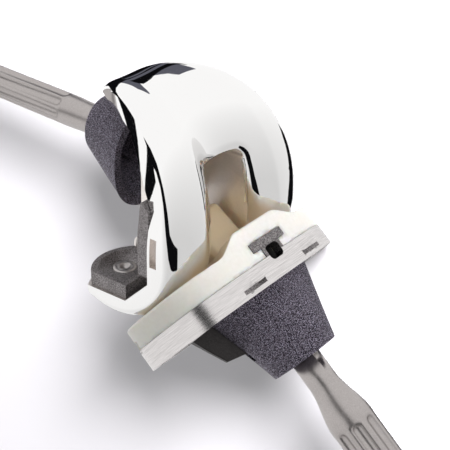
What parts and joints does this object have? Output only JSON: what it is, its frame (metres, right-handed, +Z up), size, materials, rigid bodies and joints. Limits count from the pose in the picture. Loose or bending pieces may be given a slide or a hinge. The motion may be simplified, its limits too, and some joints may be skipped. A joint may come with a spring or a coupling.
{
  "type": "revision knee implant",
  "caption": "Bent revision knee implant: polished femoral shell with augments, cone and fluted stem on a posted insert locked to a keeled tibial tray.",
  "frame": {"origin": "on the tibial stem's axis, in the plane of the tibial tray's bone face", "axes": "+Z points up the tibia towards the knee, -Y to the front (anterior), +X to the right of someone who faces the front"},
  "size_m": [0.077, 0.11, 0.2839],
  "materials": {
    "cobalt_chrome": "mirror polish outside, satin in the box",
    "blasted_titanium": "grit blasted, matte",
    "screw_metal": "turned, satin",
    "porous_titanium": "porous, granular, dark",
    "stem_titanium": "satin",
    "tray_titanium": "brushed along the rim",
    "polyethylene": "machined, slightly translucent"
  },
  "bodies": {
    "tibia": {"tibial_tray": "tray_titanium", "tibial_insert": "polyethylene", "insert_locking_wire": "screw_metal", "post_reinforcing_pin": "screw_metal", "tibial_cone": "porous_titanium", "tibial_stem": "stem_titanium"},
    "femur": {"femoral_component": "cobalt_chrome", "distal_augment_left": "blasted_titanium", "distal_augment_right": "blasted_titanium", "posterior_augment_left": "blasted_titanium", "posterior_augment_right": "blasted_titanium", "distal_augment_screw_left": "screw_metal", "distal_augment_screw_right": "screw_metal", "posterior_augment_screw_left": "screw_metal", "posterior_augment_screw_right": "screw_metal", "femoral_cone": "porous_titanium", "femoral_stem": "stem_titanium"}
  },
  "joints": [
    {"name": "knee_flexion", "type": "hinge", "parent": "tibia", "child": "femur", "pos_m": [0, 0.0065, 0.0388], "axis": [-1, 0, 0], "range_deg": [-41.4, 68.6]}
  ]
}
